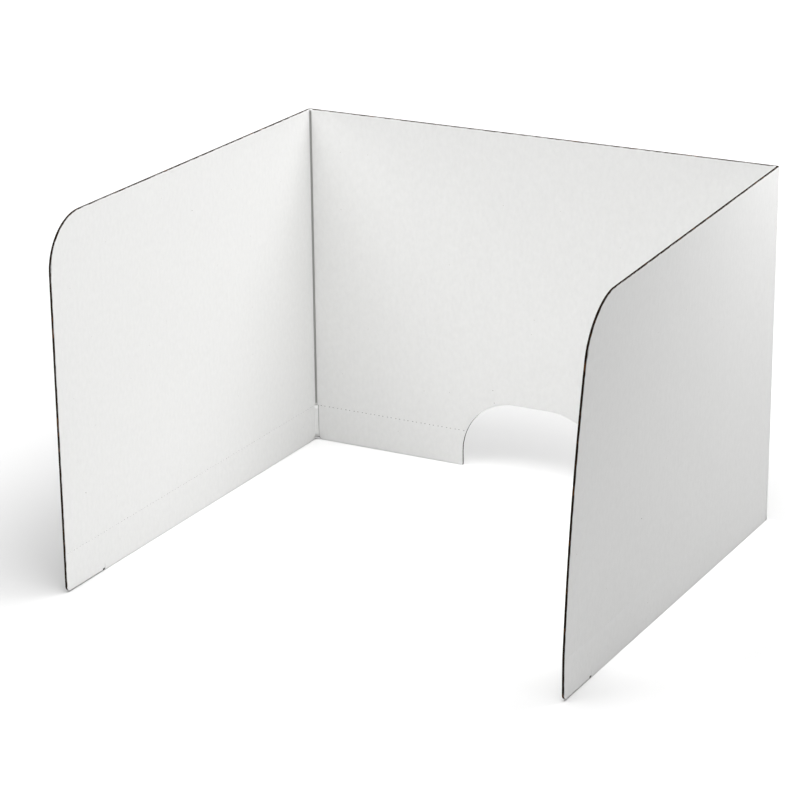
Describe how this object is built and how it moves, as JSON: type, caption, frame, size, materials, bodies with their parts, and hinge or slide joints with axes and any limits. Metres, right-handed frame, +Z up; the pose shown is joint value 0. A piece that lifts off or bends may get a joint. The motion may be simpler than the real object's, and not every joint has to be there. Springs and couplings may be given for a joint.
{
  "type": "study carrel",
  "caption": "Folding desktop study carrel of white corrugated board, with rounded side wings, an arched cut-out at the foot of the back and a creased foot strip.",
  "frame": {"origin": "on the desk, under the middle of the object's box", "axes": "+X along the back panel towards the right wing, +Y from the open front to the back panel, +Z up"},
  "size_m": [0.6833, 0.5936, 0.4572],
  "materials": {
    "white_liner": "matte bleached liner",
    "kraft_fluting": "raw kraft fluting"
  },
  "bodies": {
    "back_panel": {"back_panel_inner_liner": "white_liner", "back_panel_outer_liner": "white_liner", "back_panel_fluted_medium": "kraft_fluting", "left_fold_crease": "white_liner", "right_fold_crease": "white_liner"},
    "left_wing": {"left_wing_inner_liner": "white_liner", "left_wing_outer_liner": "white_liner", "left_wing_fluted_medium": "kraft_fluting"},
    "right_wing": {"right_wing_inner_liner": "white_liner", "right_wing_outer_liner": "white_liner", "right_wing_fluted_medium": "kraft_fluting"},
    "left_strip": {"left_strip_inner_liner": "white_liner", "left_strip_outer_liner": "white_liner", "left_strip_fluted_medium": "kraft_fluting"},
    "right_strip": {"right_strip_inner_liner": "white_liner", "right_strip_outer_liner": "white_liner", "right_strip_fluted_medium": "kraft_fluting"},
    "back_left_strip": {"back_left_strip_inner_liner": "white_liner", "back_left_strip_outer_liner": "white_liner", "back_left_strip_fluted_medium": "kraft_fluting"},
    "back_right_strip": {"back_right_strip_inner_liner": "white_liner", "back_right_strip_outer_liner": "white_liner", "back_right_strip_fluted_medium": "kraft_fluting"}
  },
  "joints": [
    {"name": "left_fold", "type": "hinge", "parent": "back_panel", "child": "left_wing", "pos_m": [-0.3396, 0.29355, 0.2286], "axis": [0, 0, -1], "range_deg": [-90, 90], "deforming": ["left_fold_crease"]},
    {"name": "right_fold", "type": "hinge", "parent": "back_panel", "child": "right_wing", "pos_m": [0.3076, 0.29355, 0.2286], "axis": [0, 0, 1], "range_deg": [-85.5, 90], "deforming": ["right_fold_crease"]},
    {"name": "left_strip_crease", "type": "hinge", "parent": "left_wing", "child": "left_strip", "pos_m": [-0.34285, 0, 0.0485], "axis": [0, 1, 0], "range_deg": [0, 90]},
    {"name": "right_strip_crease", "type": "hinge", "parent": "right_wing", "child": "right_strip", "pos_m": [0.31085, 0, 0.0485], "axis": [0, -1, 0], "range_deg": [0, 90]},
    {"name": "back_left_strip_crease", "type": "hinge", "parent": "back_panel", "child": "back_left_strip", "pos_m": [-0.22873, 0.2968, 0.0485], "axis": [1, 0, 0], "range_deg": [0, 90]},
    {"name": "back_right_strip_crease", "type": "hinge", "parent": "back_panel", "child": "back_right_strip", "pos_m": [0.19673, 0.2968, 0.0485], "axis": [1, 0, 0], "range_deg": [0, 90]}
  ]
}
